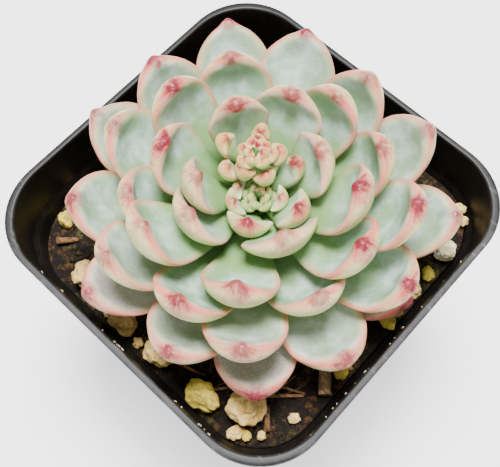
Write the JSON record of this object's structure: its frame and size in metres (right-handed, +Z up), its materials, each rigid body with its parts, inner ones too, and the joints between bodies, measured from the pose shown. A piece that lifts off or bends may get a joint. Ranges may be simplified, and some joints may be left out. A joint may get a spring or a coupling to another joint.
{
  "type": "potted succulent",
  "caption": "Rosette succulent with thick, cupped, pointed leaves and a raised side shoot, growing in a square plastic nursery pot of peat soil with pumice grains.",
  "frame": {"origin": "Centre of the pot's base, on the surface that it stands on.", "axes": "Z is up. X and Y run along the pot's sides, so the pictured corner of the pot, nearest the viewer, lies towards +X and -Y."},
  "size_m": [0.085, 0.085, 0.0982],
  "materials": {
    "pot_plastic": "satin moulded polypropylene",
    "soil": "damp, crumbly peat",
    "stem": "matte, fleshy",
    "leaf": "matte, waxy bloom",
    "young_leaf": "matte, waxy bloom",
    "blushed_leaf": "matte, waxy bloom",
    "pumice_cream": "rough, porous",
    "pumice_yellow": "rough, porous",
    "pumice_white": "rough, porous",
    "bark": "rough"
  },
  "bodies": {
    "root": {"bark_stick": "bark", "heart_bud": "young_leaf", "heart_leaf_1": "young_leaf", "heart_leaf_2": "young_leaf", "heart_leaf_3": "young_leaf", "heart_leaf_4": "young_leaf", "heart_leaf_5": "young_leaf", "heart_leaf_6": "young_leaf", "leaf_01": "leaf", "leaf_02": "leaf", "leaf_03": "leaf", "leaf_04": "leaf", "leaf_05": "leaf", "leaf_06": "leaf", "leaf_07": "leaf", "leaf_08": "leaf", "leaf_09": "leaf", "leaf_10": "leaf", "leaf_11": "leaf", "leaf_12": "leaf", "leaf_13": "leaf", "leaf_14": "leaf", "leaf_15": "leaf", "leaf_16": "leaf", "leaf_17": "leaf", "leaf_18": "leaf", "leaf_19": "leaf", "leaf_20": "leaf", "leaf_21": "leaf", "leaf_22": "leaf", "leaf_23": "leaf", "leaf_24": "leaf", "leaf_25": "leaf", "leaf_26": "leaf", "leaf_27": "leaf", "leaf_28": "leaf", "leaf_29": "leaf", "leaf_30": "leaf", "leaf_31": "leaf", "leaf_32": "leaf", "leaf_33": "leaf", "leaf_34": "leaf", "leaf_35": "leaf", "leaf_36": "leaf", "offshoot_bud": "blushed_leaf", "offshoot_leaf_1": "blushed_leaf", "offshoot_leaf_2": "blushed_leaf", "offshoot_leaf_3": "blushed_leaf", "offshoot_leaf_4": "blushed_leaf", "offshoot_leaf_5": "blushed_leaf", "offshoot_leaf_6": "blushed_leaf", "pot": "pot_plastic", "pumice_cream_large": "pumice_cream", "pumice_cream_left": "pumice_cream", "pumice_cream_low": "pumice_cream", "pumice_cream_mid": "pumice_cream", "pumice_white_right": "pumice_white", "pumice_yellow": "pumice_yellow", "soil": "soil", "stem": "stem"}
  },
  "joints": []
}
